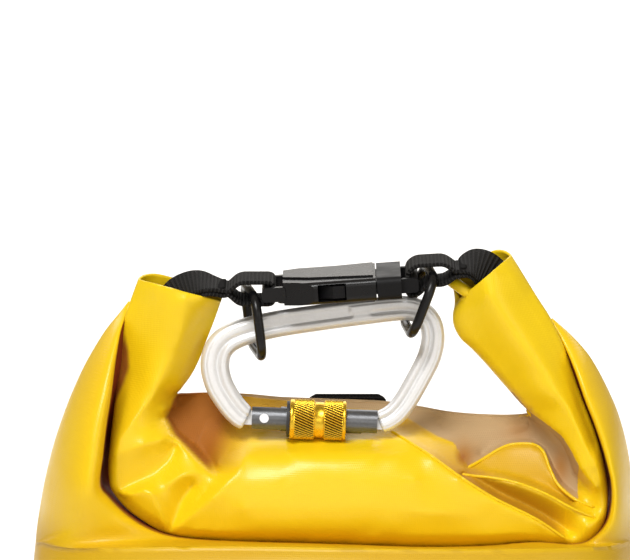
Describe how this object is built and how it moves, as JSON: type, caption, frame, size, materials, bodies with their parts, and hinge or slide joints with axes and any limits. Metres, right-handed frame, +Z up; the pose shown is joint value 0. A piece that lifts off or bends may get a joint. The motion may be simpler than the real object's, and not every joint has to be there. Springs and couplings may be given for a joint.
{
  "type": "roll-top dry bag",
  "caption": "Roll-top dry bag of yellow coated fabric, rolled and buckled, with a screw-lock carabiner through the two rings of its closure.",
  "frame": {"origin": "centre of the bag's round base, on the ground", "axes": "+Z up, the rolled mouth lies across X, the front is -Y"},
  "size_m": [0.2784, 0.2784, 0.4973],
  "materials": {
    "yellow_coated_fabric": "glossy coated woven fabric",
    "black_coated_fabric": "coated woven fabric",
    "stiffener_plastic": "extruded strip",
    "black_webbing": "woven webbing",
    "thread": "dense stitching",
    "buckle_plastic": "moulded, slight sheen",
    "black_ring": "black coated",
    "satin_aluminium": "satin",
    "grey_anodised": "grey anodised",
    "steel": "polished",
    "gold_anodised": "gold anodised, knurled"
  },
  "bodies": {
    "bag": {"base_panel": "black_coated_fabric", "bag_wall": "yellow_coated_fabric", "base_skirt": "black_coated_fabric", "side_seam_strip": "yellow_coated_fabric", "bag_shoulder": "yellow_coated_fabric", "rolled_collar": "yellow_coated_fabric", "collar_inner_turns": "yellow_coated_fabric", "mouth_stiffener": "stiffener_plastic", "mouth_webbing": "black_webbing", "back_tab": "black_coated_fabric", "strap_left": "black_webbing", "strap_right": "black_webbing", "bar_tack_left": "thread", "bar_tack_right": "thread", "buckle_female": "buckle_plastic", "buckle_male": "buckle_plastic"},
    "latch_front": {"latch_arm_front": "buckle_plastic"},
    "latch_rear": {"latch_arm_rear": "buckle_plastic"},
    "left_ring": {"ring_left": "black_ring"},
    "right_ring": {"ring_right": "black_ring"},
    "carabiner": {"carabiner_body": "satin_aluminium"},
    "gate": {"carabiner_gate": "grey_anodised", "gate_rivet": "steel", "gate_spring": "steel", "spring_plunger": "steel"},
    "stop_ring": {"sleeve_ring": "black_ring"},
    "sleeve": {"lock_sleeve": "gold_anodised"}
  },
  "joints": [
    {"name": "latch_front_press", "type": "hinge", "parent": "bag", "child": "latch_front", "pos_m": [0.01936, -0.0312, 0.48684], "axis": [-0.0698, 0, 0.9976], "range_deg": [-8, 0], "stiffness_Nm_per_rad": 0.6},
    {"name": "latch_rear_press", "type": "hinge", "parent": "bag", "child": "latch_rear", "pos_m": [0.01936, -0.0048, 0.48684], "axis": [-0.0698, 0, 0.9976], "range_deg": [0, 8], "stiffness_Nm_per_rad": 0.6},
    {"name": "ring_left_swing", "type": "hinge", "parent": "bag", "child": "left_ring", "pos_m": [-0.0374, -0.018, 0.4825], "axis": [-0.1392, 0.9903, 0], "range_deg": [-8, 8]},
    {"name": "ring_right_swing", "type": "hinge", "parent": "bag", "child": "right_ring", "pos_m": [0.0446, -0.018, 0.4916], "axis": [-0.0872, 0.9962, 0], "range_deg": [-4, 3]},
    {"name": "carabiner_swing", "type": "hinge", "parent": "bag", "child": "carabiner", "pos_m": [0, -0.01786, 0.46959], "axis": [-0.9927, -0.021, -0.119], "range_deg": [0, 40]},
    {"name": "gate_open", "type": "hinge", "parent": "carabiner", "child": "gate", "pos_m": [-0.0308, -0.02569, 0.42517], "axis": [0, -0.9848, 0.1736], "range_deg": [0, 24], "stiffness_Nm_per_rad": 0.05, "springref_deg": -17.19},
    {"name": "sleeve_slide", "type": "slide", "parent": "gate", "child": "stop_ring", "axis": [0.9993, -0.0064, -0.0364], "range_m": [0, 0.0125]},
    {"name": "sleeve_turn", "type": "hinge", "parent": "stop_ring", "child": "sleeve", "pos_m": [-0.0308, -0.02569, 0.42517], "axis": [0.9993, -0.0064, -0.0364], "range_deg": [0, 1002]}
  ],
  "couplings": [
    {"joint": "sleeve_turn", "follows": "sleeve_slide", "rad_per_m": 1396.3}
  ]
}
